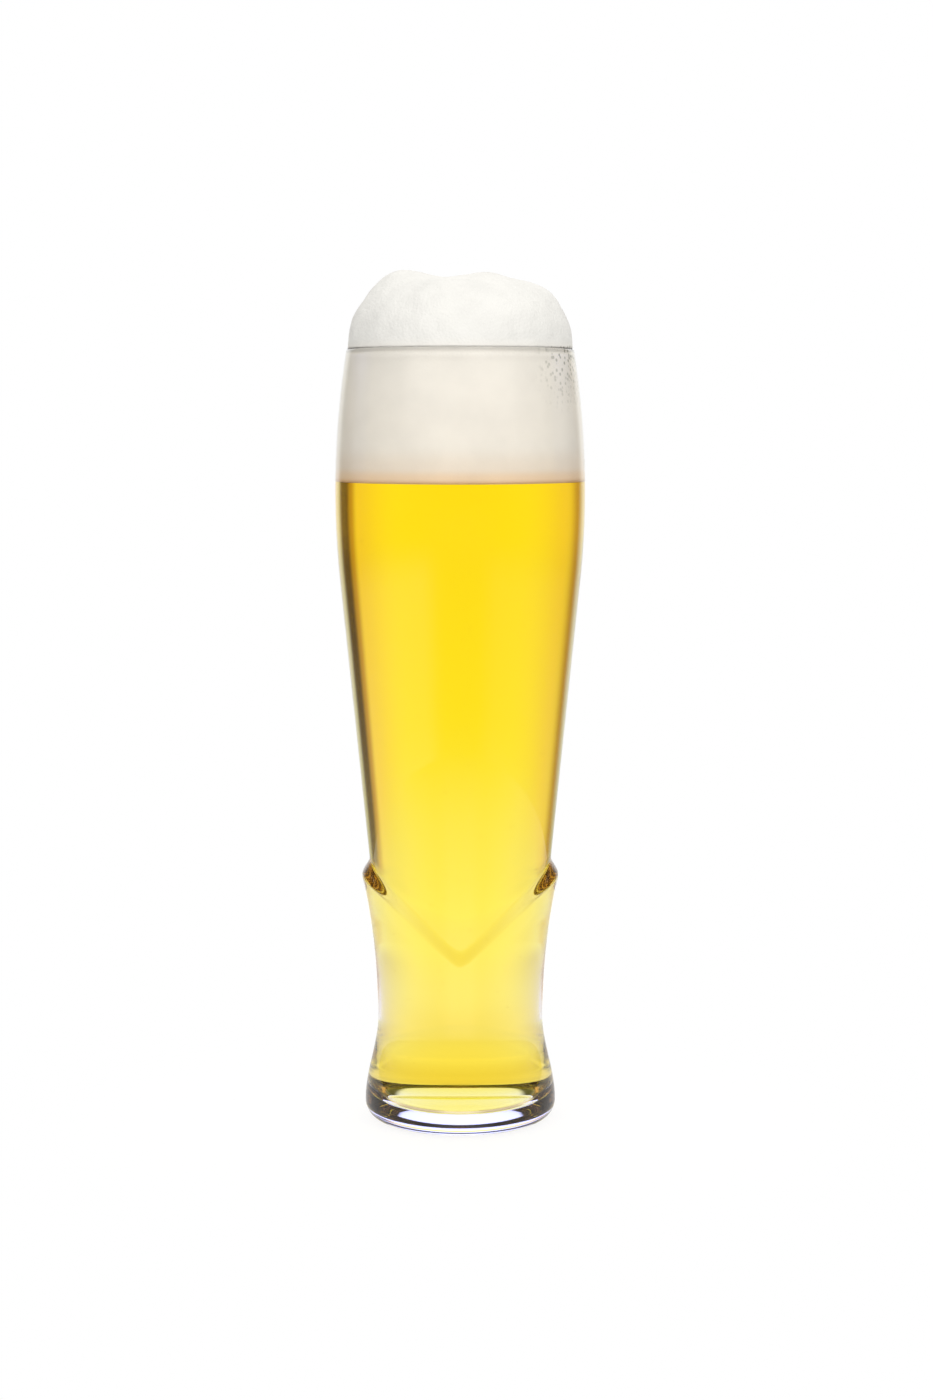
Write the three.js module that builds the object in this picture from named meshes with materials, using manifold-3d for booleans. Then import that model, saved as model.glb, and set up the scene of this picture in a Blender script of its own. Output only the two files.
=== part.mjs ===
// Tall wheat-beer glass, filled: the glass with its notched collar, the beer in it and the foam head.
// Millimetres, +Z up. The origin is the centre of the base, on the surface that the glass stands on.
import * as THREE from "three";
import { mergeVertices } from "three/addons/utils/BufferGeometryUtils.js";
import Module from "manifold-3d";

// Bowl, outside: an arc from the lip to below the belly, then a straight taper down to the collar
const glassHeight = 225; // standing surface to lip
const bellyRadius = 36.1; // widest place of the glass
const bellyDrop = 41.5; // lip down to the widest place
const bellyArc = 250; // radius of the arc that the bowl's side follows
const neckRadius = 26.1; // bowl at the height of the collar's peaks
const lipRound = 0.8; // rounding of each edge of the lip

// Collar: a flared outer layer whose upper edge falls in a V at the front and at the back
const collarPeak = 73; // height of the edge at its two side peaks
const collarValley = 53; // height of the edge at the bottom of each V
const collarStep = 2.65; // how far the peaks stand proud of the bowl
const notchRound = 3; // half-width of the rounding at the bottom of each V

// Waist and foot
const waistHeight = 30;
const waistRadius = 24.25;
const footHeight = 5.2; // height of the foot's widest place
const footRadius = 28;
const bearingRadius = 23.2; // outer edge of the flat ring that the glass stands on
const recessRadius = 20.5; // inner edge of that ring
const recessDepth = 0.3; // hollow under the middle of the base

// Cavity: walls of glass round it and under it
const bowlWall = 2; // lip and belly
const neckWall = 3.2; // at the height of the collar's peaks, without the collar
const waistWall = 7;
const heelWall = 5.5; // round the well above the foot
const baseThickness = 5; // standing surface to the cavity's floor
const floorRound = 6.5; // radius of the well's bottom edge

// Drink
const clearance = 0.3; // between the glass, the beer and the foam
const beerDrop = 38; // lip down to the top of the beer
const foamRise = 19.5; // lip up to the foam's crown, without its lumps
const foamInset = 0.4; // foam's shoulder inside the lip's outer edge
const foamFullness = 2.5; // exponent of the crown's profile: 2 is an ellipse, more is fuller
// Lumps of the crown: centre, height and half-width
const foamLumps = [
  { x: -20, y: 3, rise: 5.6, spread: 7.5 },
  { x: 9, y: -5, rise: 2.4, spread: 6 },
  { x: 25, y: 3, rise: 3, spread: 6 },
  { x: -3, y: 20, rise: 2.2, spread: 8 },
  { x: -6, y: -22, rise: 1.8, spread: 7 },
];

// Fineness of the facets
const segments = 48; // round the axis
const arcSteps = 10; // along the belly's arc
const curveSteps = 6; // along each other curve
const roundSteps = 3; // along each small rounding

// Places that follow from the sizes
const bellyHeight = glassHeight - bellyDrop;
const arcCentre = new THREE.Vector2(bellyRadius - bellyArc, bellyHeight);
const collarRadius = neckRadius + collarStep;
const wellRadius = footRadius - heelWall;
const beerLevel = glassHeight - beerDrop;
const radiusOnArc = (arcRadius, height) =>
  arcCentre.x + Math.sqrt(arcRadius ** 2 - (height - bellyHeight) ** 2);
const rimRadius = radiusOnArc(bellyArc, glassHeight);

const wasm = await Module();
wasm.setup();

const point = (radius, height) => new THREE.Vector2(radius, height);

// Points of an elliptic arc about a centre, from one angle to another in radians
function arc(centre, radiusAcross, radiusUp, from, to, steps) {
  const points = [];
  for (let i = 0; i <= steps; i++) {
    const angle = THREE.MathUtils.lerp(from, to, i / steps);
    points.push(point(centre.x + radiusAcross * Math.cos(angle), centre.y + radiusUp * Math.sin(angle)));
  }
  return points;
}

// Points of a curve that leaves one point along one slope and reaches the other along another.
// A slope is radius gained for each unit of height.
function flare(start, startSlope, end, endSlope) {
  const third = (end.y - start.y) / 3;
  const leave = point(start.x + startSlope * third, start.y + third);
  const reach = point(end.x - endSlope * third, end.y - third);
  return new THREE.CubicBezierCurve(start, leave, reach, end).getPoints(curveSteps);
}

// Side of the bowl from the neck up: a straight taper that touches the belly's arc, then the arc to a height.
// Also gives the taper's slope.
function bowlSide(neck, arcRadius, top) {
  const toNeck = neck.clone().sub(arcCentre);
  const touch = Math.atan2(toNeck.y, toNeck.x) + Math.acos(arcRadius / toNeck.length());
  const end = Math.asin((top - bellyHeight) / arcRadius);
  return {
    points: [neck, ...arc(arcCentre, arcRadius, arcRadius, touch, end, arcSteps)],
    slope: -Math.tan(touch),
  };
}

// Wall of the cavity from the edge of its floor up to a height, drawn in by an inset
function cavitySide(inset, top) {
  const heelCentre = point(wellRadius - floorRound, baseThickness + floorRound);
  const heelRadius = floorRound - inset;
  const heel = arc(heelCentre, heelRadius, heelRadius, -Math.PI / 2, 0, curveSteps);
  const well = heel[heel.length - 1];
  const waist = point(waistRadius - waistWall - inset, waistHeight);
  const neck = point(neckRadius - neckWall - inset, collarPeak);
  const bowl = bowlSide(neck, bellyArc - bowlWall - inset, top);
  return [
    ...heel,
    ...flare(well, 0, waist, 0).slice(1),
    ...flare(waist, 0, neck, bowl.slope).slice(1),
    ...bowl.points.slice(1),
  ];
}

// The part of a rising outline between two heights, ended by points on its own lines
function stretch(outline, low, high) {
  const at = (height) => {
    const above = Math.max(1, outline.findIndex((p) => p.y >= height));
    const [a, b] = [outline[above - 1], outline[above]];
    return a.clone().lerp(b, (height - a.y) / (b.y - a.y));
  };
  return [at(low), ...outline.filter((p) => p.y > low && p.y < high), at(high)];
}

// A closed three.js geometry as a solid for joining and cutting
function solid(geometry) {
  geometry.deleteAttribute("normal");
  geometry.deleteAttribute("uv");
  const merged = mergeVertices(geometry);
  const corners = merged.index.array;
  const triangles = [];
  for (let i = 0; i < corners.length; i += 3) {
    const [a, b, c] = corners.subarray(i, i + 3);
    if (a !== b && b !== c && c !== a) triangles.push(a, b, c);
  }
  const vertProperties = new Float32Array(merged.attributes.position.array);
  const triVerts = new Uint32Array(triangles);
  return new wasm.Manifold(new wasm.Mesh({ numProp: 3, vertProperties, triVerts }));
}

// A solid turned round the Z axis from an outline of (radius, height) that starts and ends on the axis
function turned(outline) {
  return solid(new THREE.LatheGeometry(outline, segments).rotateX(Math.PI / 2));
}

// The bowl as a full solid, from inside the waist to the lip's outer rounding
function bowlBody() {
  const neck = point(neckRadius, collarPeak);
  const side = bowlSide(neck, bellyArc, glassHeight - lipRound);
  const hiddenFoot = point(neckRadius + side.slope * (waistHeight - collarPeak), waistHeight);
  const lipCentre = point(side.points[side.points.length - 1].x - lipRound, glassHeight - lipRound);
  const lip = arc(lipCentre, lipRound, lipRound, 0, Math.PI / 2, roundSteps);
  return turned([
    point(0, waistHeight),
    hiddenFoot,
    ...side.points.slice(0, -1),
    ...lip,
    point(0, glassHeight),
  ]);
}

// Foot, waist and collar as a full solid, with the collar's V cut through from front to back
function footBody() {
  const collarTop = collarPeak + collarStep;
  const rise = collarPeak - waistHeight;
  const flareOut = collarRadius - waistRadius;
  const collarArc = (rise ** 2 + flareOut ** 2) / (2 * flareOut);
  const collarCentre = point(waistRadius + collarArc, waistHeight);
  const collarEnd = Math.PI - Math.asin((collarTop - waistHeight) / collarArc);
  const underside = new THREE.QuadraticBezierCurve(
    point(0, recessDepth),
    point(recessRadius / 2, recessDepth),
    point(recessRadius, 0),
  );
  const edge = arc(
    point(bearingRadius, footHeight),
    footRadius - bearingRadius,
    footHeight,
    -Math.PI / 2,
    0,
    curveSteps,
  );
  const body = turned([
    ...underside.getPoints(roundSteps),
    ...edge,
    ...flare(point(footRadius, footHeight), 0, point(waistRadius, waistHeight), 0).slice(1),
    ...arc(collarCentre, collarArc, collarArc, Math.PI, collarEnd, curveSteps).slice(1),
    point(0, collarTop),
  ]);
  return body.subtract(notch(collarTop));
}

// The space above the collar's edge: a V with a rounded bottom, carried from front to back
function notch(collarTop) {
  const reach = 2 * collarRadius;
  const slope = (collarPeak - collarValley) / (collarRadius - notchRound / 2);
  const apex = collarValley - (slope * notchRound) / 2;
  const ceiling = Math.max(collarTop, apex + slope * reach) + collarStep;
  const shape = new THREE.Shape();
  shape.moveTo(notchRound, apex + slope * notchRound);
  shape.lineTo(reach, apex + slope * reach);
  shape.lineTo(reach, ceiling);
  shape.lineTo(-reach, ceiling);
  shape.lineTo(-reach, apex + slope * reach);
  shape.lineTo(-notchRound, apex + slope * notchRound);
  shape.quadraticCurveTo(0, apex, notchRound, apex + slope * notchRound);
  const prism = new THREE.ExtrudeGeometry(shape, {
    depth: 2 * reach,
    bevelEnabled: false,
    curveSegments: curveSteps,
  });
  return solid(prism.translate(0, 0, -reach).rotateX(Math.PI / 2));
}

// The inside of the glass, opening out round the lip's inner edge and running on above it
function cavityBody() {
  const side = cavitySide(0, glassHeight - lipRound);
  const lipCentre = point(side[side.length - 1].x + lipRound, glassHeight - lipRound);
  const lip = arc(lipCentre, lipRound, lipRound, Math.PI, Math.PI / 2, roundSteps);
  const mouth = lip[lip.length - 1];
  return turned([
    point(0, baseThickness),
    ...side.slice(0, -1),
    ...lip,
    point(mouth.x, glassHeight + foamRise),
    point(0, glassHeight + foamRise),
  ]);
}

// The beer: the cavity drawn in by the clearance, up to the beer's level
function beerBody() {
  const side = cavitySide(clearance, glassHeight);
  const floor = side[0];
  return turned([point(0, floor.y), ...stretch(side, floor.y, beerLevel), point(0, beerLevel)]);
}

// The foam head: a plug in the bowl that spreads over the lip into a lumpy crown
function foamBody() {
  const underside = beerLevel + clearance;
  const seat = glassHeight + clearance;
  const plug = stretch(cavitySide(clearance, seat), underside, seat);
  const shoulder = rimRadius - foamInset;
  const crown = [];
  for (let i = 0; i <= arcSteps; i++) {
    const angle = ((Math.PI / 2) * i) / arcSteps;
    const across = Math.max(0, Math.cos(angle)) ** (2 / foamFullness);
    const up = Math.sin(angle) ** (2 / foamFullness);
    crown.push(point(i === arcSteps ? 0 : shoulder * across, seat + (foamRise - clearance) * up));
  }
  const geometry = new THREE.LatheGeometry([point(0, underside), ...plug, ...crown], segments);
  geometry.rotateX(Math.PI / 2);
  raiseLumps(geometry.attributes.position, seat);
  return solid(geometry);
}

// Lifts the crown by a sum of bell-shaped lumps, none of it at the seat and all of it at the crown's height
function raiseLumps(position, seat) {
  for (let i = 0; i < position.count; i++) {
    const share = (position.getZ(i) - seat) / (glassHeight + foamRise - seat);
    if (share <= 0) continue;
    let lift = 0;
    for (const lump of foamLumps) {
      const square = (position.getX(i) - lump.x) ** 2 + (position.getY(i) - lump.y) ** 2;
      lift += lump.rise * Math.exp(-square / (2 * lump.spread ** 2));
    }
    position.setZ(i, position.getZ(i) + lift * share);
  }
}

// A named mesh of a solid
function piece(name, body, look) {
  const mesh = body.getMesh();
  const geometry = new THREE.BufferGeometry();
  geometry.setAttribute("position", new THREE.BufferAttribute(new Float32Array(mesh.vertProperties), 3));
  geometry.setIndex(new THREE.BufferAttribute(new Uint32Array(mesh.triVerts), 1));
  geometry.computeVertexNormals();
  const result = new THREE.Mesh(geometry, new THREE.MeshStandardMaterial(look));
  result.name = name;
  return result;
}

const clearGlass = { color: 0xe9efee, roughness: 0.03, metalness: 0, transparent: true, opacity: 0.3 };
const paleLager = { color: 0xf6c413, roughness: 0.05, metalness: 0, transparent: true, opacity: 0.85 };
const beerFroth = { color: 0xf6f1e6, roughness: 0.9, metalness: 0 };

const glass = footBody().add(bowlBody()).subtract(cavityBody());

const filledGlass = new THREE.Group();
filledGlass.add(piece("glass", glass, clearGlass));
filledGlass.add(piece("beer", beerBody(), paleLager));
filledGlass.add(piece("foam_head", foamBody(), beerFroth));

export default filledGlass;
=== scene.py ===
"""Looks of a filled wheat-beer glass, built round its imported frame.

The glass, the beer and the foam head are each one closed surface round the Z axis, worked out with
numpy. Their main heights and the belly's radius come from the frame. Everything is in metres.
"""

import math

import bpy
import numpy as np
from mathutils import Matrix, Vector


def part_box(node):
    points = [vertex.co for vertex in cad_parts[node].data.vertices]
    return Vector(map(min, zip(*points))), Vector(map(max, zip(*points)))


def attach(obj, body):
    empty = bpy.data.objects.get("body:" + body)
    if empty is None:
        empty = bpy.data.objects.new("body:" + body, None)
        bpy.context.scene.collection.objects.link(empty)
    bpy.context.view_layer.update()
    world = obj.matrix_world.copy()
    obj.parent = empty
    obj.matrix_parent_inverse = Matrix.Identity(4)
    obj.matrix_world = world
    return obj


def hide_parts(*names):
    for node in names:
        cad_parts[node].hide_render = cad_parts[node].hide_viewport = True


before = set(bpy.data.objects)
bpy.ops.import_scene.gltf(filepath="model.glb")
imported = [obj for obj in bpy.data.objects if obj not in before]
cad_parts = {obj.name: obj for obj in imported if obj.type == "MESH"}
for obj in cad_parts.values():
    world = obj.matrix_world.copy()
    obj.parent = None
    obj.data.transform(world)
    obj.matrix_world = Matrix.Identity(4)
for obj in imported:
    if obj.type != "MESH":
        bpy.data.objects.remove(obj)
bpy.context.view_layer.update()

MM = 0.001

# Sizes taken from the frame
GLASS_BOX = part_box("glass")
BEER_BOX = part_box("beer")
LIP_HEIGHT = GLASS_BOX[1].z
BELLY_RADIUS = GLASS_BOX[1].x
BEER_LEVEL = BEER_BOX[1].z

# Bowl: an arc from the lip to below the belly, then a straight taper to the collar
BELLY_HEIGHT = LIP_HEIGHT - 41.5 * MM
BELLY_ARC = 250 * MM
NECK_RADIUS = 26.1 * MM
BOWL_WALL = 2.0 * MM
NECK_WALL = 3.2 * MM
LIP_ROUND = 0.95 * MM
COLLAR_CLEAR = 20 * MM  # below the belly, where rows stop following the collar's edge

# Collar: its edge falls in a V at the front and, rolled over more softly, at the back
COLLAR_PEAK = 76.4 * MM
COLLAR_VALLEY = 51.8 * MM
COLLAR_REACH = 27.5 * MM  # sideways from the middle of the V to a peak
COLLAR_STEP = 2.2 * MM  # how far the collar stands proud of the bowl at the neck
COLLAR_EAR = 0.65 * MM  # how much further at the peaks
EAR_START = 0.75  # cosine of the angle from a peak at which an ear begins
EAR_SPAN = 0.22  # rise of that cosine to where the ear is full
COLLAR_EDGE = 2.6 * MM  # half the height over which the edge rolls into the bowl
COLLAR_PEAK_EDGE = 2.9 * MM  # the same at the peaks
PEAK_EDGE_START = 0.6  # cosine at which the roll begins to change to that of the peaks
PEAK_EDGE_SPAN = 0.3  # rise of that cosine to where the change is done
COLLAR_BACK_EDGE = 7.0 * MM  # half the height of the roll at the back
BACK_EDGE_GAIN = 1.5  # how fast the roll changes to that of the back
NOTCH_ROUND = 2.0 * MM  # rounding at the bottom of the V
NECK_HEIGHT = 73 * MM

# Waist, foot and base
WAIST_HEIGHT = 30 * MM
WAIST_RADIUS = 24.25 * MM
WAIST_WALL = 7.0 * MM
FOOT_HEIGHT = 5.2 * MM
FOOT_RADIUS = 28 * MM
BEARING_RADIUS = 23.2 * MM
RECESS_RADIUS = 20.5 * MM
RECESS_DEPTH = 0.3 * MM
HEEL_WALL = 5.5 * MM
BASE_THICKNESS = 5.0 * MM
FLOOR_ROUND = 6.5 * MM

# Indices of refraction
GLASS_IOR = 1.52
FROTH_IOR = 1.15
BEER_IOR = 1.34

# Drink
BEER_INSET = 0.05 * MM  # gap between the beer and the wall that it wets
FOAM_INSET = 0.05 * MM  # gap between the foam and the wall, the lip and the beer that it touches
FOAM_LIP_TURN = 0.35 * math.pi  # angle on the lip's round top, from outside, where the foam ends
FOAM_RISE = 19.5 * MM  # the crown above its rim, without its lumps
FOAM_FULLNESS = 2.5  # 2 makes the crown's profile an ellipse, more makes it squarer

# Photograph: size of its frame in pixels, and where the glass stands in it
PHOTO_SIZE = (933, 1400)
AXIS_PIXEL = 460.2
HORIZON_PIXEL = 405.0
FOCAL_PIXELS = 2700.0
SENSOR = 36.0  # millimetres along the long side
CAMERA_DISTANCE = 0.782
CAMERA_HEIGHT = 0.2089

# Points of the meshes: columns round the axis, and rows on each stretch of a profile
COLUMNS = 256
DISC_START = 0.04  # radius of a disc's first ring, as a share of the disc
HOLLOW_ROWS = 14
BEARING_ROWS = 5
FOOT_ROWS = 14
WAIST_ROWS = 22
SLEEVE_ROWS = 40
ROLL_ROWS = 24
TAPER_ROWS = 40
BELLY_ROWS = 36
DRY_LIP_ROWS = 8
FROTHY_LIP_ROWS = 14
FROTHY_WALL_ROWS = 30
WET_WALL_ROWS = 80
HEEL_ROWS = 14
FLOOR_ROWS = 20
BEER_HEEL_ROWS = 12
BEER_TOP_ROWS = 8
FOAM_UNDER_ROWS = 8
FOAM_WALL_ROWS = 40
FOAM_LIP_ROWS = 18
CROWN_ROWS = 140

# Stage
TABLE_RADIUS = 0.35
TABLE_DROP = 0.02 * MM  # keeps the table clear of the ring that the glass stands on


def linear(code):
    """Linear colour of an sRGB hex value.

    Each channel is divided by 12.92 near black and is else shifted and raised to the power 2.4.
    """
    channels = np.array([int(code[i : i + 2], 16) for i in (1, 3, 5)]) / 255
    low = channels / 12.92
    high = ((channels + 0.055) / 1.055) ** 2.4
    return (*np.where(channels <= 0.04045, low, high).tolist(), 1.0)


def smooth_step(share):
    """Rises from 0 to 1 with level ends: three times the square less twice the cube."""
    share = np.clip(share, 0, 1)
    return share * share * (3 - 2 * share)


def taper_and_arc(neck_radius, arc_radius):
    """Radius at a height on a bowl's side.

    The side is an arc about a centre level with the belly, and below the arc the straight line that
    touches it and passes through the neck. Also gives the line's slope.
    """
    centre = BELLY_RADIUS - BELLY_ARC
    across = neck_radius - centre
    up = NECK_HEIGHT - BELLY_HEIGHT
    touch = math.atan2(up, across) + math.acos(arc_radius / math.hypot(across, up))
    touch_height = BELLY_HEIGHT + arc_radius * math.sin(touch)
    slope = -math.tan(touch)

    def radius(height):
        on_arc = centre + np.sqrt(arc_radius**2 - (height - BELLY_HEIGHT) ** 2)
        on_line = neck_radius + slope * (height - NECK_HEIGHT)
        return np.where(height > touch_height, on_arc, on_line)

    return radius, slope


bowl_outside = taper_and_arc(NECK_RADIUS, BELLY_ARC)[0]


def foot_outside(height):
    """Radius between the foot's widest place and the waist: a level-ended step."""
    share = (height - FOOT_HEIGHT) / (WAIST_HEIGHT - FOOT_HEIGHT)
    return FOOT_RADIUS + (WAIST_RADIUS - FOOT_RADIUS) * smooth_step(share)


def cavity(inset):
    """Radius at a height inside the glass, drawn in by an inset.

    From below: an arc at the heel, a level-ended step from the well to the waist, a cubic that leaves
    the waist upright and meets the bowl's straight taper at the neck, and the bowl.
    """
    bowl, slope = taper_and_arc(NECK_RADIUS - NECK_WALL - inset, BELLY_ARC - BOWL_WALL - inset)
    well = FOOT_RADIUS - HEEL_WALL - inset
    waist = WAIST_RADIUS - WAIST_WALL - inset
    neck = NECK_RADIUS - NECK_WALL - inset
    heel_top = BASE_THICKNESS + FLOOR_ROUND
    heel_radius = FLOOR_ROUND - inset

    def radius(height):
        drop = np.clip(heel_top - height, 0, heel_radius)
        heel = well - heel_radius + np.sqrt(heel_radius**2 - drop**2)
        share = (height - heel_top) / (WAIST_HEIGHT - heel_top)
        lower = well + (waist - well) * smooth_step(share)
        span = NECK_HEIGHT - WAIST_HEIGHT
        t = np.clip((height - WAIST_HEIGHT) / span, 0, 1)
        upper = waist + (neck - waist) * smooth_step(t) + slope * span * (t**3 - t**2)
        below_neck = np.where(height > WAIST_HEIGHT, upper, lower)
        wall = np.where(height > NECK_HEIGHT, bowl(height), below_neck)
        return np.where(height < heel_top, heel, wall)

    return radius


# Angles of the columns round the axis, from +X towards +Y
ANGLES = np.linspace(0, 2 * np.pi, COLUMNS, endpoint=False)


def round_row(radius, height):
    """Rows of constant radius and height, repeated for every column."""
    radius = np.atleast_1d(radius)[:, None]
    height = np.atleast_1d(height)[:, None]
    flat = np.zeros((1, COLUMNS))
    return radius + flat, height + flat


def turned_mesh(name, radius, height, slots=None):
    """Closed surface round the Z axis from rows of radius and height, one value for each column.

    A point is radius times cosine and sine of its column's angle, at its height. Neighbouring rows
    and columns are joined by four-sided faces, and the first and last row by triangles to a point on
    the axis. slots gives the material slot of the faces that follow each row.
    """
    rows = len(radius)
    grid = np.stack([radius * np.cos(ANGLES), radius * np.sin(ANGLES), height], axis=-1).reshape(-1, 3)
    poles = [[0, 0, height[0].mean()], [0, 0, height[-1].mean()]]
    points = np.concatenate([grid, poles])
    first, last = len(grid), len(grid) + 1
    ring = np.arange(COLUMNS)
    after = np.roll(ring, -1)
    low = (np.arange(rows - 1) * COLUMNS)[:, None]
    high = low + COLUMNS
    quads = np.stack([low + ring, low + after, high + after, high + ring], axis=-1).reshape(-1, 4)
    top = (rows - 1) * COLUMNS
    fans = [
        np.stack([np.full(COLUMNS, first), after, ring], axis=-1),
        np.stack([np.full(COLUMNS, last), top + ring, top + after], axis=-1),
    ]
    mesh = bpy.data.meshes.new(name)
    faces = quads.tolist() + fans[0].tolist() + fans[1].tolist()
    mesh.from_pydata(points.tolist(), [], faces)
    if slots is not None:
        ends = [slots[0], slots[-1]]
        every = np.concatenate([np.repeat(slots[:-1], COLUMNS), np.repeat(ends, COLUMNS)])
        mesh.polygons.foreach_set("material_index", every.astype(np.int32))
    mesh.shade_smooth()
    mesh.update()
    return mesh


def place(name, mesh, body, node, materials):
    """Puts a mesh into the scene in place of a frame node, riding on that node's body."""
    made = bpy.data.objects.new(name, mesh)
    bpy.context.scene.collection.objects.link(made)
    for look in materials:
        mesh.materials.append(look)
    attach(made, body)
    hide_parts(node)


def collar_edge():
    """Height of the collar's edge at each column, and half the height of its roll into the bowl.

    The edge is a V in the sideways direction with a rounded bottom: the length of a vector whose parts
    are the sideways distance and the rounding. The roll grows towards the peaks and the back in
    level-ended steps.
    """
    cosine = np.cos(ANGLES)
    sideways = COLLAR_REACH * cosine
    slope = (COLLAR_PEAK - COLLAR_VALLEY) / COLLAR_REACH
    edge = COLLAR_VALLEY + slope * (np.sqrt(sideways**2 + NOTCH_ROUND**2) - NOTCH_ROUND)
    at_peak = smooth_step((np.abs(cosine) - PEAK_EDGE_START) / PEAK_EDGE_SPAN)
    roll = COLLAR_EDGE + (COLLAR_PEAK_EDGE - COLLAR_EDGE) * at_peak
    roll = roll + (COLLAR_BACK_EDGE - roll) * smooth_step(BACK_EDGE_GAIN * np.sin(ANGLES))
    return edge, roll


def lip_round(turn, gap):
    """Radius and height on the lip's round top, or a gap away from it.

    The angle turns from the outside, at 0, to the inside, at pi. The top is half an ellipse between the
    two sides of the wall.
    """
    outer = bowl_outside(LIP_HEIGHT - LIP_ROUND)
    inner = cavity(0)(np.array(LIP_HEIGHT - LIP_ROUND))
    radius = (outer + inner) / 2 + ((outer - inner) / 2 + gap) * np.cos(turn)
    height = LIP_HEIGHT - LIP_ROUND + (LIP_ROUND + gap) * np.sin(turn)
    return radius, height


def glass_rows():
    """Rows of the glass, with the material slot of each: 0 dry, 1 against the froth, 2 against the beer.

    They run from the middle of its underside, up its outside, over the lip and down to its floor.
    Between waist and belly they follow the collar's edge. The collar flares with the square of the
    height above the waist, by more at the peaks, and gives way to the bowl in a level-ended step.
    """
    parts = []
    hollow = np.linspace(DISC_START, 1, HOLLOW_ROWS)
    parts.append(round_row(RECESS_RADIUS * hollow, RECESS_DEPTH * (1 - hollow**2)))
    ring = np.linspace(RECESS_RADIUS, BEARING_RADIUS, BEARING_ROWS)[1:-1]
    parts.append(round_row(ring, np.zeros_like(ring)))
    turn = np.linspace(-np.pi / 2, 0, FOOT_ROWS)
    foot = FOOT_RADIUS - BEARING_RADIUS
    parts.append(round_row(BEARING_RADIUS + foot * np.cos(turn), FOOT_HEIGHT * (1 + np.sin(turn))))
    heights = np.linspace(FOOT_HEIGHT, WAIST_HEIGHT, WAIST_ROWS)[1:]
    parts.append(round_row(foot_outside(heights), heights))

    edge, roll = collar_edge()
    below = WAIST_HEIGHT + (edge - roll - WAIST_HEIGHT) * np.linspace(0, 1, SLEEVE_ROWS)[1:, None]
    over = edge + roll * np.linspace(-1, 1, ROLL_ROWS)[1:, None]
    level_from = BELLY_HEIGHT - COLLAR_CLEAR
    above = edge + roll + (level_from - edge - roll) * np.linspace(0, 1, TAPER_ROWS)[1:, None]
    height = np.concatenate([below, over, above])
    flare = ((height - WAIST_HEIGHT) / (NECK_HEIGHT - WAIST_HEIGHT)) ** 2
    aside = np.abs(np.cos(ANGLES))
    step = COLLAR_STEP + COLLAR_EAR * smooth_step((aside - EAR_START) / EAR_SPAN)
    sleeve = WAIST_RADIUS + (NECK_RADIUS + step - WAIST_RADIUS) * flare
    bowl = bowl_outside(height)
    share = smooth_step((edge + roll - height) / (2 * roll))
    parts.append((bowl + (sleeve - bowl) * share, height))

    heights = np.linspace(level_from, LIP_HEIGHT - LIP_ROUND, BELLY_ROWS)[1:]
    parts.append(round_row(bowl_outside(heights), heights))
    turn = np.linspace(0, FOAM_LIP_TURN, DRY_LIP_ROWS)[1:]
    parts.append(round_row(*lip_round(turn, 0)))
    dry_rows = sum(len(p[0]) for p in parts)

    turn = np.linspace(FOAM_LIP_TURN, np.pi, FROTHY_LIP_ROWS)[1:]
    parts.append(round_row(*lip_round(turn, 0)))
    inside = cavity(0)
    heights = np.linspace(LIP_HEIGHT - LIP_ROUND, BEER_LEVEL, FROTHY_WALL_ROWS)[1:]
    parts.append(round_row(inside(heights), heights))
    froth_rows = sum(len(p[0]) for p in parts)

    heights = np.linspace(BEER_LEVEL, BASE_THICKNESS + FLOOR_ROUND, WET_WALL_ROWS)[1:]
    parts.append(round_row(inside(heights), heights))
    turn = np.linspace(0, -np.pi / 2, HEEL_ROWS)[1:]
    well = FOOT_RADIUS - HEEL_WALL - FLOOR_ROUND
    heights = BASE_THICKNESS + FLOOR_ROUND * (1 + np.sin(turn))
    parts.append(round_row(well + FLOOR_ROUND * np.cos(turn), heights))
    floor = np.linspace(1, DISC_START, FLOOR_ROWS)[1:]
    parts.append(round_row(well * floor, np.full_like(floor, BASE_THICKNESS)))
    radius = np.concatenate([p[0] for p in parts])
    height = np.concatenate([p[1] for p in parts])
    row = np.arange(len(radius))
    slots = (row >= dry_rows - 1).astype(int) + (row >= froth_rows - 1)
    return radius, height, slots


def beer_rows():
    """Rows of the beer from the middle of its floor, up the wall that it wets, to the middle of its top.

    The floor and the top are level discs, with the cavity's heel arc and wall between them.
    """
    inside = cavity(BEER_INSET)
    well = FOOT_RADIUS - HEEL_WALL - FLOOR_ROUND
    floor = np.linspace(DISC_START, 1, FLOOR_ROWS)[:-1]
    turn = np.linspace(-np.pi / 2, 0, BEER_HEEL_ROWS)
    heel = FLOOR_ROUND - BEER_INSET
    heights = np.linspace(BASE_THICKNESS + FLOOR_ROUND, BEER_LEVEL, WET_WALL_ROWS)[1:]
    top = np.linspace(1, DISC_START, BEER_TOP_ROWS)[1:]
    parts = [
        round_row(well * floor, np.full_like(floor, BASE_THICKNESS + BEER_INSET)),
        round_row(well + heel * np.cos(turn), BASE_THICKNESS + FLOOR_ROUND + heel * np.sin(turn)),
        round_row(inside(heights), heights),
        round_row(inside(np.array(BEER_LEVEL)) * top, np.full_like(top, BEER_LEVEL)),
    ]
    return np.concatenate([p[0] for p in parts]), np.concatenate([p[1] for p in parts])


# Lumps of the crown: sideways and depth place, height and half-width
FOAM_LUMPS = np.array([
    [-20, 3, 5.6, 7.5],
    [9, -5, 2.4, 6],
    [25, 3, 3, 6],
    [-3, 20, 2.2, 8],
    [-6, -22, 1.8, 7],
]) * MM

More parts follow.
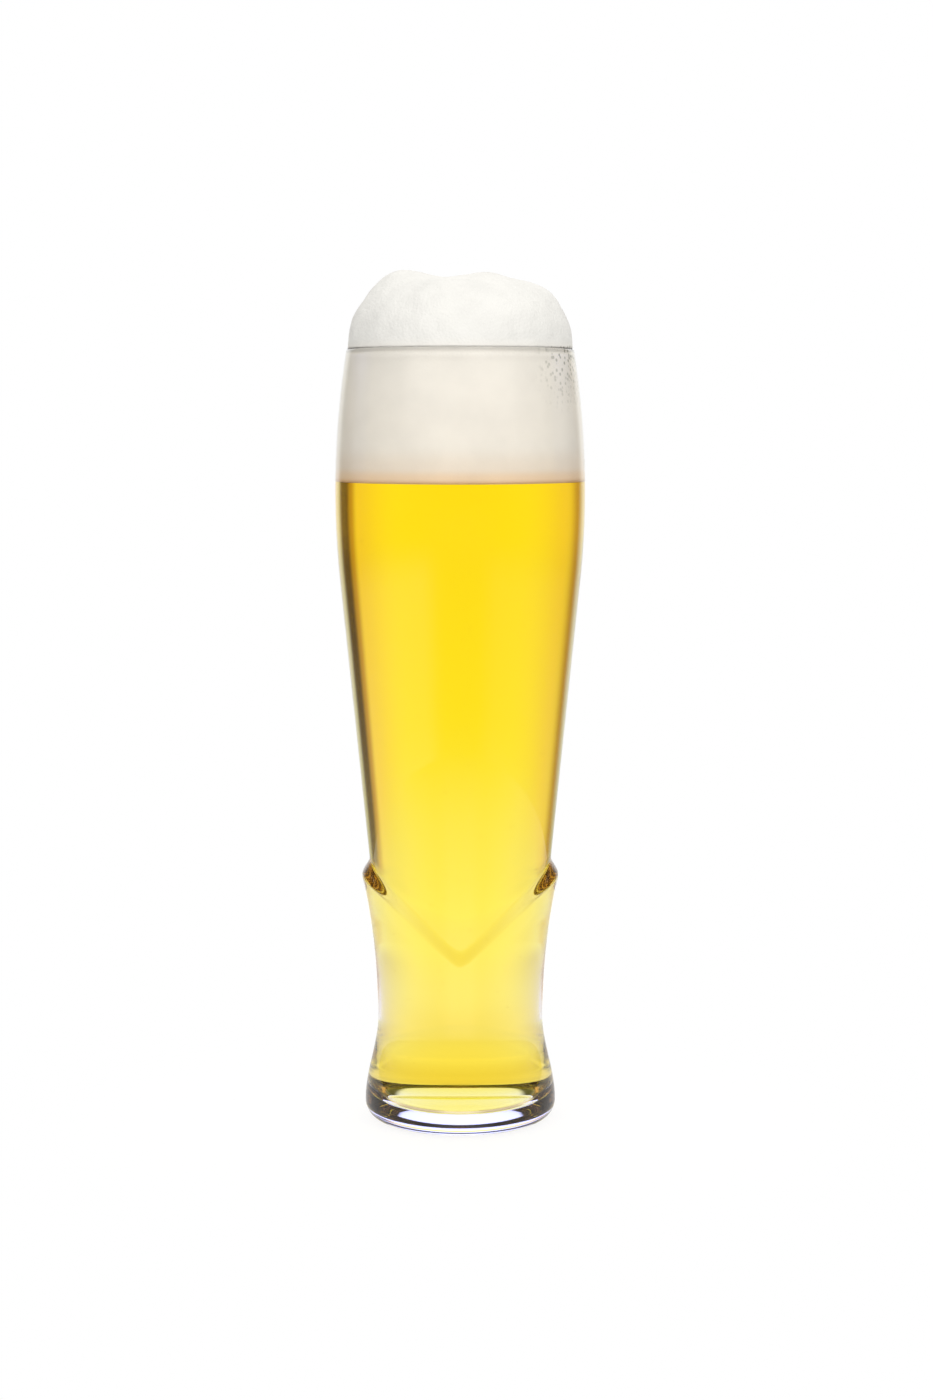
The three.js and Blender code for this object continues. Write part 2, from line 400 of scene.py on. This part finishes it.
# Rough surface of the crown: size of its grain and how far the grain stands out
FOAM_ROUGHNESS = np.array([[6.0, 0.35], [2.2, 0.14]]) * MM
ROUGH_START = 5  # the roughness grows from none at the lip to all of it at a fifth of the crown's rise

# Lattice noise: angle of the sine for each step along X, Y and Z, and the height of the sine
NOISE_ANGLES = (127.1, 311.7, 74.7)
NOISE_HEIGHT = 43758.5453


def lattice_noise(x, y, z, size):
    """Smooth noise between -1 and 1 whose lumps are about one size across.

    Each corner of a cubic lattice has a number from the fraction of a large sine of its place, and the
    corners round a point are blended with level-ended steps.
    """
    spot = np.stack([x, y, z]) / size
    corner = np.floor(spot)
    share = smooth_step(spot - corner)
    total = np.zeros_like(x)
    for step in np.ndindex(2, 2, 2):
        step = np.reshape(step, (3,) + (1,) * x.ndim)
        a, b, c = corner + step
        angle = a * NOISE_ANGLES[0] + b * NOISE_ANGLES[1] + c * NOISE_ANGLES[2]
        number = np.sin(angle) * NOISE_HEIGHT
        weight = np.prod(np.where(step == 1, share, 1 - share), axis=0)
        total = total + weight * (2 * (number - np.floor(number)) - 1)
    return total


def foam_rows():
    """Rows of the foam from its underside up the bowl's wall and over the lip into a lumpy crown.

    The crown's profile is a superellipse: radius and height are the cosine and sine of an angle, raised
    to two over the fullness. Bell-shaped lumps lift it, by more the higher a point lies, and smooth
    noise of two sizes moves it in and out.
    """
    inside = cavity(FOAM_INSET)
    under = np.linspace(DISC_START, 1, FOAM_UNDER_ROWS)[:-1]
    base = BEER_LEVEL + FOAM_INSET
    heights = np.linspace(base, LIP_HEIGHT - LIP_ROUND, FOAM_WALL_ROWS)[:-1]
    over_lip = np.linspace(np.pi, FOAM_LIP_TURN, FOAM_LIP_ROWS)
    lip_radius, lip_height = lip_round(over_lip, FOAM_INSET)
    turn = np.linspace(0, np.pi / 2, CROWN_ROWS)[1:-1]
    across = lip_radius[-1] * np.cos(turn) ** (2 / FOAM_FULLNESS)
    up = lip_height[-1] + FOAM_RISE * np.sin(turn) ** (2 / FOAM_FULLNESS)
    parts = [
        round_row(inside(np.array(base)) * under, np.full_like(under, base)),
        round_row(inside(heights), heights),
        round_row(lip_radius, lip_height),
        round_row(across, up),
    ]
    radius = np.concatenate([p[0] for p in parts])
    height = np.concatenate([p[1] for p in parts])
    x, y = radius * np.cos(ANGLES), radius * np.sin(ANGLES)
    share = np.clip((height - lip_height[-1]) / FOAM_RISE, 0, 1)
    rough = sum(depth * lattice_noise(x, y, height, size) for size, depth in FOAM_ROUGHNESS)
    grow = 1 + rough * smooth_step(share * ROUGH_START) / np.hypot(radius, height - LIP_HEIGHT)
    for lump_x, lump_y, rise, spread in FOAM_LUMPS:
        square = (x - lump_x) ** 2 + (y - lump_y) ** 2
        height = height + share * rise * np.exp(-square / (2 * spread**2))
    return radius * grow, LIP_HEIGHT + (height - LIP_HEIGHT) * grow


def add(tree, kind, inputs=None, **settings):
    """Adds a node, sets its settings, and links or sets each of its inputs."""
    made = tree.nodes.new(kind)
    for key, value in settings.items():
        setattr(made, key, value)
    for key, value in (inputs or {}).items():
        if isinstance(value, bpy.types.NodeSocket):
            tree.links.new(value, made.inputs[key])
        else:
            made.inputs[key].default_value = value
    return made


def material(name):
    """A new material with an empty node tree, and its tree."""
    made = bpy.data.materials.new(name)
    made.use_nodes = True
    made.node_tree.nodes.clear()
    return made, made.node_tree


def ramp(tree, factor, stops):
    """A colour ramp: each stop has a place between 0 and 1 and a grey level or a colour."""
    made = add(tree, "ShaderNodeValToRGB", {"Fac": factor})
    made.color_ramp.interpolation = "EASE"
    while len(made.color_ramp.elements) < len(stops):
        made.color_ramp.elements.new(1.0)
    for element, (at, level) in zip(made.color_ramp.elements, stops):
        element.position = at
        element.color = (*np.broadcast_to(level, 3).tolist(), 1)
    return made.outputs["Color"]


def clear_glass(name, ior):
    """Soda-lime glass, mould-blown: water-clear, fire-polished, with a faint waviness of the wall.

    The waves are 14 mm long and 0.02 mm high. The index of refraction is that of the glass over that of
    what lies against it.
    """
    made, tree = material(name)
    wave_length = 14 * MM
    wave_height = 0.02 * MM
    spot = add(tree, "ShaderNodeTexCoord").outputs["Object"]
    waves = add(tree, "ShaderNodeTexNoise", {
        "Vector": spot, "Scale": 1 / wave_length, "Detail": 1.0,
    }).outputs["Fac"]
    bump = add(tree, "ShaderNodeBump", {"Strength": 1.0, "Distance": wave_height, "Height": waves})
    shader = add(tree, "ShaderNodeBsdfPrincipled", {
        "Base Color": linear("#ffffff"),
        "Roughness": 0.0,
        "IOR": ior,
        "Transmission Weight": 1.0,
        "Normal": bump.outputs["Normal"],
    })
    add(tree, "ShaderNodeOutputMaterial", {"Surface": shader.outputs["BSDF"]})
    return made


def pale_beer():
    """Filtered pale beer: clear, takes blue out of the light and a little green.

    Fine bubbles of half a millimetre, 4 mm apart, cling to the wall and dull the light a little. The
    glass that the beer wets bends the light, so the beer's own surface bends none.
    """
    made, tree = material("pale_beer")
    bubble_spacing = 4 * MM
    spot = add(tree, "ShaderNodeTexCoord").outputs["Object"]
    cells = add(tree, "ShaderNodeTexVoronoi", {
        "Vector": spot, "Scale": 1 / bubble_spacing,
    }).outputs["Distance"]
    bubbles = ramp(tree, cells, [(0.05, linear("#f4f0e2")[:3]), (0.09, 1.0)])
    shader = add(tree, "ShaderNodeBsdfPrincipled", {
        "Base Color": bubbles,
        "Roughness": 0.0,
        "IOR": 1.0,
        "Transmission Weight": 1.0,
    })
    absorbed = np.array([0.0, 4.5, 62.0])  # per metre, in red, green and blue
    density = 70.0
    volume = add(tree, "ShaderNodeVolumeAbsorption", {
        "Color": (*(1 - absorbed / density).tolist(), 1.0),
        "Density": density,
    })
    add(tree, "ShaderNodeOutputMaterial", {
        "Surface": shader.outputs["BSDF"], "Volume": volume.outputs["Volume"],
    })
    return made


def beer_foam():
    """Beer froth: millions of fine bubbles that scatter nearly all light, so it looks like matt cream.

    Its last millimetres above the beer are painted amber, as light that comes up through the beer, and
    it is a little mottled. Bubbles of about 0.8 mm show as fine grain where it stands free, and coarse
    dark ones of 1.5 mm show on one side of the lip, where it has begun to break. Both are drawn coarser
    than real ones, so that they show.
    """
    made, tree = material("beer_foam")
    mottle_size = 9 * MM
    coarse_bubble = 1.5 * MM
    fine_bubble = 0.8 * MM
    bubble_depth = 0.25 * MM
    spot = add(tree, "ShaderNodeTexCoord").outputs["Object"]
    along = add(tree, "ShaderNodeSeparateXYZ", {0: spot}).outputs
    level = add(tree, "ShaderNodeMapRange", {
        "Value": along["Z"], "From Min": BEER_LEVEL, "From Max": LIP_HEIGHT + FOAM_RISE,
    }).outputs["Result"]

    def at(above_beer):
        """Place on the ramp of a height above the beer, in millimetres."""
        return above_beer * MM / (LIP_HEIGHT + FOAM_RISE - BEER_LEVEL)

    # Colour up the froth: painted amber light from the beer in its last millimetres, then cream to
    # off-white
    tint = ramp(tree, level, [
        (at(0), linear("#e3bd92")[:3]),
        (at(1.6), linear("#f2dabd")[:3]),
        (at(4.5), linear("#f3e8d8")[:3]),
        (at(11), linear("#f7f1e6")[:3]),
        (at(36), linear("#f9f4ea")[:3]),
        (at(41), linear("#f2f0ea")[:3]),
    ])
    mottle = add(tree, "ShaderNodeTexNoise", {
        "Vector": spot, "Scale": 1 / mottle_size, "Detail": 3.0,
    }).outputs["Fac"]
    shade = add(tree, "ShaderNodeMapRange", {
        "Value": mottle, "From Min": 0.3, "From Max": 0.7, "To Min": 0.94, "To Max": 1.0,
    }).outputs["Result"]
    colour = add(tree, "ShaderNodeMixRGB", {0: 1.0, 1: tint, 2: shade}, blend_type="MULTIPLY").outputs[0]
    coarse = add(tree, "ShaderNodeTexVoronoi", {
        "Vector": spot, "Scale": 1 / coarse_bubble,
    }).outputs["Distance"]
    dark = add(tree, "ShaderNodeMapRange", {
        "Value": coarse, "From Min": 0.2, "From Max": 0.42, "To Min": 1.0, "To Max": 0.0,
    }).outputs["Result"]
    near_lip = add(tree, "ShaderNodeMapRange", {
        "Value": along["Z"], "From Min": LIP_HEIGHT - 19 * MM, "From Max": LIP_HEIGHT - 2 * MM,
    }).outputs["Result"]
    inside = add(tree, "ShaderNodeMapRange", {
        "Value": along["Z"], "From Min": LIP_HEIGHT - 0.2 * MM, "From Max": LIP_HEIGHT + 1.2 * MM,
        "To Min": 1.0, "To Max": 0.0,
    }).outputs["Result"]
    aside = add(tree, "ShaderNodeMapRange", {
        "Value": along["X"], "From Min": 20 * MM, "From Max": 28 * MM, "To Min": 0.0, "To Max": 0.8,
    }).outputs["Result"]
    for share in (near_lip, inside, aside):
        dark = add(tree, "ShaderNodeMath", {0: dark, 1: share}, operation="MULTIPLY").outputs[0]
    colour = add(tree, "ShaderNodeMixRGB", {0: dark, 1: colour, 2: linear("#8d8c78")}).outputs[0]
    bubbles = add(tree, "ShaderNodeTexVoronoi", {
        "Vector": spot, "Scale": 1 / fine_bubble,
    }).outputs["Distance"]
    free = add(tree, "ShaderNodeMapRange", {
        "Value": along["Z"], "From Min": LIP_HEIGHT - 1 * MM, "From Max": LIP_HEIGHT + 3 * MM,
        "To Min": 0.12, "To Max": 0.5,
    }).outputs["Result"]
    bump = add(tree, "ShaderNodeBump", {
        "Strength": free, "Distance": bubble_depth, "Height": bubbles,
    }, invert=True)
    shader = add(tree, "ShaderNodeBsdfPrincipled", {
        "Base Color": colour,
        "Roughness": 0.85,
        "Specular IOR Level": 0.15,
        "Normal": bump.outputs["Normal"],
    })
    add(tree, "ShaderNodeOutputMaterial", {"Surface": shader.outputs["BSDF"]})
    return made


def untrapped(tree, path):
    """Share of light left for matt surfaces that are seen after many bounces inside the thick glass."""
    return add(tree, "ShaderNodeMapRange", {
        "Value": path["Glossy Depth"], "From Min": 2, "From Max": 5, "To Min": 1.0, "To Max": 0.0,
    }).outputs["Result"]


def trapped(tree, path, colour):
    """Colour dimmed by how often its light was thrown back inside the thick glass: painted amber shade
    that stands in for the glass's faint tint.
    """
    most = 32.0
    share = add(tree, "ShaderNodeMath", {
        0: path["Glossy Depth"], 1: most,
    }, operation="DIVIDE").outputs[0]
    left = ramp(tree, share, [
        (0 / most, 1.0),
        (3 / most, 1.0),
        (6 / most, (0.75, 0.47, 0.18)),
        (12 / most, (0.6, 0.32, 0.1)),
        (32 / most, (0.45, 0.22, 0.06)),
    ])
    return add(tree, "ShaderNodeMixRGB", {0: 1.0, 1: colour, 2: left}, blend_type="MULTIPLY").outputs[0]


def white_table():
    """Painted white table: white with a faint shadow round the base.

    For rays through the glass it carries painted light and shade: golden under the base and warm near
    it, as painted light that came through the beer, a painted shadow dark under the rim of the foot, and
    painted shade dimmer towards both sides. Its reflection in the glass is painted too, bright near the
    base and fading towards the front and the sides.
    """
    made, tree = material("white_table")
    path = add(tree, "ShaderNodeLightPath").outputs
    spot = add(tree, "ShaderNodeTexCoord").outputs["Object"]
    away = add(tree, "ShaderNodeVectorMath", {0: spot}, operation="LENGTH").outputs["Value"]
    share = add(tree, "ShaderNodeMath", {0: away, 1: TABLE_RADIUS}, operation="DIVIDE").outputs[0]

    def at(distance):
        """Place on the ramp of a distance from the axis, in millimetres."""
        return distance * MM / TABLE_RADIUS

    # Painted light: golden under the base, where light that came through the beer would fall
    golden = (1.0, 0.85, 0.5)
    # Painted shadow: dark ring on the table under the rim of the foot
    rim = 0.03
    under = ramp(tree, share, [
        (at(0), golden),
        (at(22), golden),
        (at(25), rim),
        (at(30), rim),
        (at(33), (0.97, 0.85, 0.62)),
        (at(60), (1.05, 0.985, 1.0)),
        (at(110), (1.0, 0.93, 0.9)),
        (at(190), (1.03, 1.0, 1.1)),
        (at(340), (1.06, 1.05, 1.12)),
    ])
    across = add(tree, "ShaderNodeSeparateXYZ", {0: spot}).outputs["X"]
    across = add(tree, "ShaderNodeMath", {0: across}, operation="ABSOLUTE").outputs[0]
    aside = add(tree, "ShaderNodeMath", {0: across, 1: away}, operation="DIVIDE").outputs[0]
    # Painted shade of the reflection: dimmer towards both sides
    dim = add(tree, "ShaderNodeMapRange", {
        "Value": aside, "From Min": 0.15, "From Max": 0.5, "To Min": 1.0, "To Max": 0.74,
    }, interpolation_type="SMOOTHSTEP").outputs["Result"]
    distant = add(tree, "ShaderNodeMapRange", {
        "Value": away, "From Min": 0.24, "From Max": 0.345,
    }, interpolation_type="SMOOTHSTEP").outputs["Result"]
    # Painted shade and light for rays through the glass: dull and tan towards both sides, cream furthest
    # aside
    dull = (0.74, 0.69, 0.7)
    cream = (1.0, 0.96, 0.8)
    edge = ramp(tree, aside, [
        (0.15, 1.0),
        (0.5, (0.9, 0.88, 0.8)),
        (0.64, (0.79, 0.67, 0.45)),
        (0.87, (0.73, 0.68, 0.59)),
        (0.97, cream),
    ])
    near = ramp(tree, aside, [(0.15, 1.0), (0.5, dull), (0.8, dull), (0.95, cream)])
    sides = add(tree, "ShaderNodeMixRGB", {0: distant, 1: near, 2: edge}).outputs[0]
    under = add(tree, "ShaderNodeMixRGB", {0: 1.0, 1: under, 2: sides}, blend_type="MULTIPLY").outputs[0]
    under = trapped(tree, path, under)
    depth = add(tree, "ShaderNodeSeparateXYZ", {0: spot}).outputs["Y"]
    # Painted reflection: bright near the base, dark towards the front
    mirrored = add(tree, "ShaderNodeMapRange", {
        "Value": depth, "From Min": -0.36, "From Max": -0.1, "To Min": 0.04, "To Max": 1.4,
    }).outputs["Result"]
    shade = add(tree, "ShaderNodeMath", {0: dim, 1: 2.0}, operation="POWER").outputs[0]
    mirrored = add(tree, "ShaderNodeMath", {0: mirrored, 1: shade}, operation="MULTIPLY").outputs[0]
    seen = add(tree, "ShaderNodeMixRGB", {
        0: path["Is Transmission Ray"], 1: mirrored, 2: under,
    }).outputs[0]
    glow = add(tree, "ShaderNodeEmission", {"Color": seen}).outputs[0]
    white = add(tree, "ShaderNodeEmission", {
        "Color": (1, 1, 1, 1), "Strength": untrapped(tree, path),
    }).outputs[0]
    matt = add(tree, "ShaderNodeBsdfDiffuse", {"Color": (0.97, 0.97, 0.97, 1)}).outputs[0]
    fade = add(tree, "ShaderNodeMapRange", {
        "Value": away, "From Min": 0.03, "From Max": 0.12, "To Min": 0.9, "To Max": 1.0,
    }).outputs["Result"]
    plain = add(tree, "ShaderNodeMixShader", {0: fade, 1: matt, 2: white}).outputs[0]
    bent = add(tree, "ShaderNodeMath", {
        0: path["Is Glossy Ray"], 1: path["Is Transmission Ray"],
    }, operation="MAXIMUM").outputs[0]
    first = add(tree, "ShaderNodeMath", {
        0: path["Diffuse Depth"], 1: 0.5,
    }, operation="LESS_THAN").outputs[0]
    shown = add(tree, "ShaderNodeMath", {0: bent, 1: first}, operation="MULTIPLY").outputs[0]
    mixed = add(tree, "ShaderNodeMixShader", {0: shown, 1: plain, 2: glow}).outputs[0]
    add(tree, "ShaderNodeOutputMaterial", {"Surface": mixed})
    made.cycles.emission_sampling = "NONE"
    return made


def make_table():
    """A round white table top, level with the base of the glass."""
    ring = [TABLE_RADIUS * np.cos(ANGLES), TABLE_RADIUS * np.sin(ANGLES), np.zeros(COLUMNS)]
    points = np.stack(ring, axis=-1)
    mesh = bpy.data.meshes.new("table")
    mesh.from_pydata(points.tolist(), [], [list(range(COLUMNS))])
    mesh.materials.append(white_table())
    made = bpy.data.objects.new("table", mesh)
    bpy.context.scene.collection.objects.link(made)
    made.location.z = -TABLE_DROP


def make_studio():
    """White studio: the camera sees white, and matt surfaces get soft light from in front and behind.

    The glass sees a backdrop that changes with the direction of a ray. Near the level it is golden
    straight behind the glass and brown further round, below that pale with tan sides, and higher up cool
    white between dark sides. Its reflections show a dark room with a bright panel behind the glass, and
    lower down pale sides.
    """
    world = bpy.data.worlds.new("studio")
    bpy.context.scene.world = world
    world.use_nodes = True
    world.cycles.sampling_method = "NONE"
    tree = world.node_tree
    tree.nodes.clear()
    path = add(tree, "ShaderNodeLightPath").outputs
    direction = add(tree, "ShaderNodeTexCoord").outputs["Generated"]
    parts = add(tree, "ShaderNodeSeparateXYZ", {0: direction}).outputs
    azimuth = add(tree, "ShaderNodeMath", {0: parts["X"], 1: parts["Y"]}, operation="ARCTAN2").outputs[0]
    turn = add(tree, "ShaderNodeMapRange", {
        "Value": azimuth, "From Min": -math.pi, "From Max": math.pi,
    }).outputs["Result"]
    facing = add(tree, "ShaderNodeMath", {0: parts["Y"]}, operation="ABSOLUTE").outputs[0]
    both_ways = add(tree, "ShaderNodeMath", {0: parts["X"], 1: facing}, operation="ARCTAN2").outputs[0]
    both_ways = add(tree, "ShaderNodeMapRange", {
        "Value": both_ways, "From Min": -math.pi, "From Max": math.pi,
    }).outputs["Result"]

    def at(degrees):
        """Place on the ramp of an angle round the glass, from straight behind it."""
        return degrees / 360 + 0.5

    # Backdrop colours that only rays through the glass see: painted golden light and amber and brown
    # shade
    deep = (1.08, 1.04, 0.32)
    warm = (1.0, 0.8, 0.4)
    amber = (0.55, 0.32, 0.06)
    brown = (0.06, 0.025, 0.002)
    side = (1.06, 0.98, 0.6)
    low = ramp(tree, turn, [
        (at(-180), side), (at(-84), side), (at(-75), 0.85), (at(-62), 0.7), (at(-56), (0.5, 0.4, 0.22)),
        (at(-48), amber), (at(-36), warm), (at(-13), deep), (at(13), deep), (at(32), warm),
        (at(37), amber), (at(42), brown), (at(49), brown), (at(55), 0.45), (at(63), 0.8),
        (at(75), 0.85), (at(84), side), (at(180), side),
    ])
    far = (0.96, 0.92, 0.88)
    tan = (0.84, 0.7, 0.5)
    cream = (1.06, 1.0, 0.9)
    dull = (0.78, 0.72, 0.66)
    bright = (1.06, 1.07, 1.12)
    lowest = ramp(tree, both_ways, [
        (at(-78), cream), (at(-60), dull), (at(-40), tan), (at(-30), far), (at(-9), bright),
        (at(9), bright), (at(30), far), (at(40), tan), (at(60), dull), (at(78), cream),
    ])
    cool = (1.05, 1.1, 2.0)
    dark = 0.02
    middle = ramp(tree, turn, [
        (at(-180), 0.5), (at(-130), 0.5), (at(-118), dark), (at(-80), dark), (at(-60), cool),
        (at(60), cool), (at(80), dark), (at(118), dark), (at(130), 0.5), (at(180), 0.5),
    ])
    upper = ramp(tree, turn, [
        (at(-180), 0.3), (at(-120), dark), (at(-46), dark), (at(-34), cool),
        (at(34), cool), (at(46), dark), (at(120), dark), (at(180), 0.3),
    ])
    sink = add(tree, "ShaderNodeMapRange", {
        "Value": parts["Z"], "From Min": -0.095, "From Max": -0.045,
    }, interpolation_type="SMOOTHSTEP").outputs["Result"]
    low = add(tree, "ShaderNodeMixRGB", {0: sink, 1: lowest, 2: low}).outputs[0]
    rise = add(tree, "ShaderNodeMapRange", {
        "Value": parts["Z"], "From Min": 0.07, "From Max": 0.2,
    }, interpolation_type="SMOOTHSTEP").outputs["Result"]
    steep = add(tree, "ShaderNodeMapRange", {
        "Value": parts["Z"], "From Min": 0.33, "From Max": 0.38,
    }, interpolation_type="SMOOTHSTEP").outputs["Result"]
    backdrop = add(tree, "ShaderNodeMixRGB", {0: rise, 1: low, 2: middle}).outputs[0]
    backdrop = add(tree, "ShaderNodeMixRGB", {0: steep, 1: backdrop, 2: upper}).outputs[0]
    backdrop = trapped(tree, path, backdrop)
    mirrored = ramp(tree, turn, [
        (at(-180), 0.06), (at(-60), 0.08), (at(-42), 0.12), (at(-26), 1.0),
        (at(26), 1.0), (at(42), 0.12), (at(60), 0.08), (at(180), 0.06),
    ])
    level = ramp(tree, turn, [
        (at(-180), 0.04), (at(-165), 0.04), (at(-140), 0.7), (at(-70), 0.8), (at(-40), 0.3),
        (at(40), 0.2), (at(70), 0.4), (at(140), 0.35), (at(165), 0.04), (at(180), 0.04),
    ])
    dip = add(tree, "ShaderNodeMapRange", {
        "Value": parts["Z"], "From Min": -0.12, "From Max": -0.26,
    }, interpolation_type="SMOOTHSTEP").outputs["Result"]
    mirrored = add(tree, "ShaderNodeMixRGB", {0: dip, 1: mirrored, 2: level}).outputs[0]
    folded = add(tree, "ShaderNodeCombineXYZ", {0: parts["X"], 1: facing, 2: parts["Z"]}).outputs[0]
    key_from = (0.06, 0.87, 0.48)
    key = add(tree, "ShaderNodeVectorMath", {0: folded, 1: key_from}, operation="DOT_PRODUCT")
    soft = add(tree, "ShaderNodeMapRange", {
        "Value": key.outputs["Value"], "From Min": 0.05, "From Max": 1, "To Min": 0.0, "To Max": 1.7,
    }).outputs["Result"]
    left = untrapped(tree, path)
    soft = add(tree, "ShaderNodeMath", {0: soft, 1: left}, operation="MULTIPLY").outputs[0]
    lit = add(tree, "ShaderNodeMath", {
        0: path["Diffuse Depth"], 1: 0.5,
    }, operation="GREATER_THAN").outputs[0]
    colour = add(tree, "ShaderNodeMixRGB", {
        0: path["Is Transmission Ray"], 1: mirrored, 2: backdrop,
    }).outputs[0]
    colour = add(tree, "ShaderNodeMixRGB", {
        0: path["Is Camera Ray"], 1: colour, 2: (1, 1, 1, 1),
    }).outputs[0]
    colour = add(tree, "ShaderNodeMixRGB", {0: lit, 1: colour, 2: soft}).outputs[0]
    light = add(tree, "ShaderNodeBackground", {"Color": colour}).outputs[0]
    add(tree, "ShaderNodeOutputWorld", {"Surface": light})


def make_camera():
    """Camera at the photograph's angle: level line and glass axis fall on their pixels."""
    data = bpy.data.cameras.new("camera")
    data.sensor_width = SENSOR
    data.lens = FOCAL_PIXELS / max(PHOTO_SIZE) * SENSOR
    made = bpy.data.objects.new("camera", data)
    bpy.context.scene.collection.objects.link(made)
    pitch = math.atan((PHOTO_SIZE[1] / 2 - HORIZON_PIXEL) / FOCAL_PIXELS)
    sideways = (PHOTO_SIZE[0] / 2 - AXIS_PIXEL) / FOCAL_PIXELS * CAMERA_DISTANCE
    made.location = (sideways, -CAMERA_DISTANCE, CAMERA_HEIGHT)
    made.rotation_euler = (math.pi / 2 - pitch, 0, 0)
    bpy.context.scene.camera = made


glass_sides = [
    clear_glass("soda_lime_glass", GLASS_IOR),
    clear_glass("soda_lime_glass_frothy", GLASS_IOR / FROTH_IOR),
    clear_glass("soda_lime_glass_wet", GLASS_IOR / BEER_IOR),
]
glass_mesh = turned_mesh("beer_glass", *glass_rows())
beer_mesh = turned_mesh("beer_fill", *beer_rows())
foam_mesh = turned_mesh("froth", *foam_rows())
place("beer_glass", glass_mesh, "vessel", "glass", glass_sides)
place("beer_fill", beer_mesh, "drink", "beer", [pale_beer()])
place("froth", foam_mesh, "drink", "foam_head", [beer_foam()])
make_table()
make_studio()
make_camera()

scene = bpy.context.scene
scene.view_settings.view_transform = "Standard"
scene.cycles.max_bounces = 128  # light runs far inside the thick glass before it leaves
scene.cycles.transmission_bounces = 100
scene.cycles.glossy_bounces = 48
scene.cycles.blur_glossy = 0.0  # keeps light sharp on its way through the glass to the foam
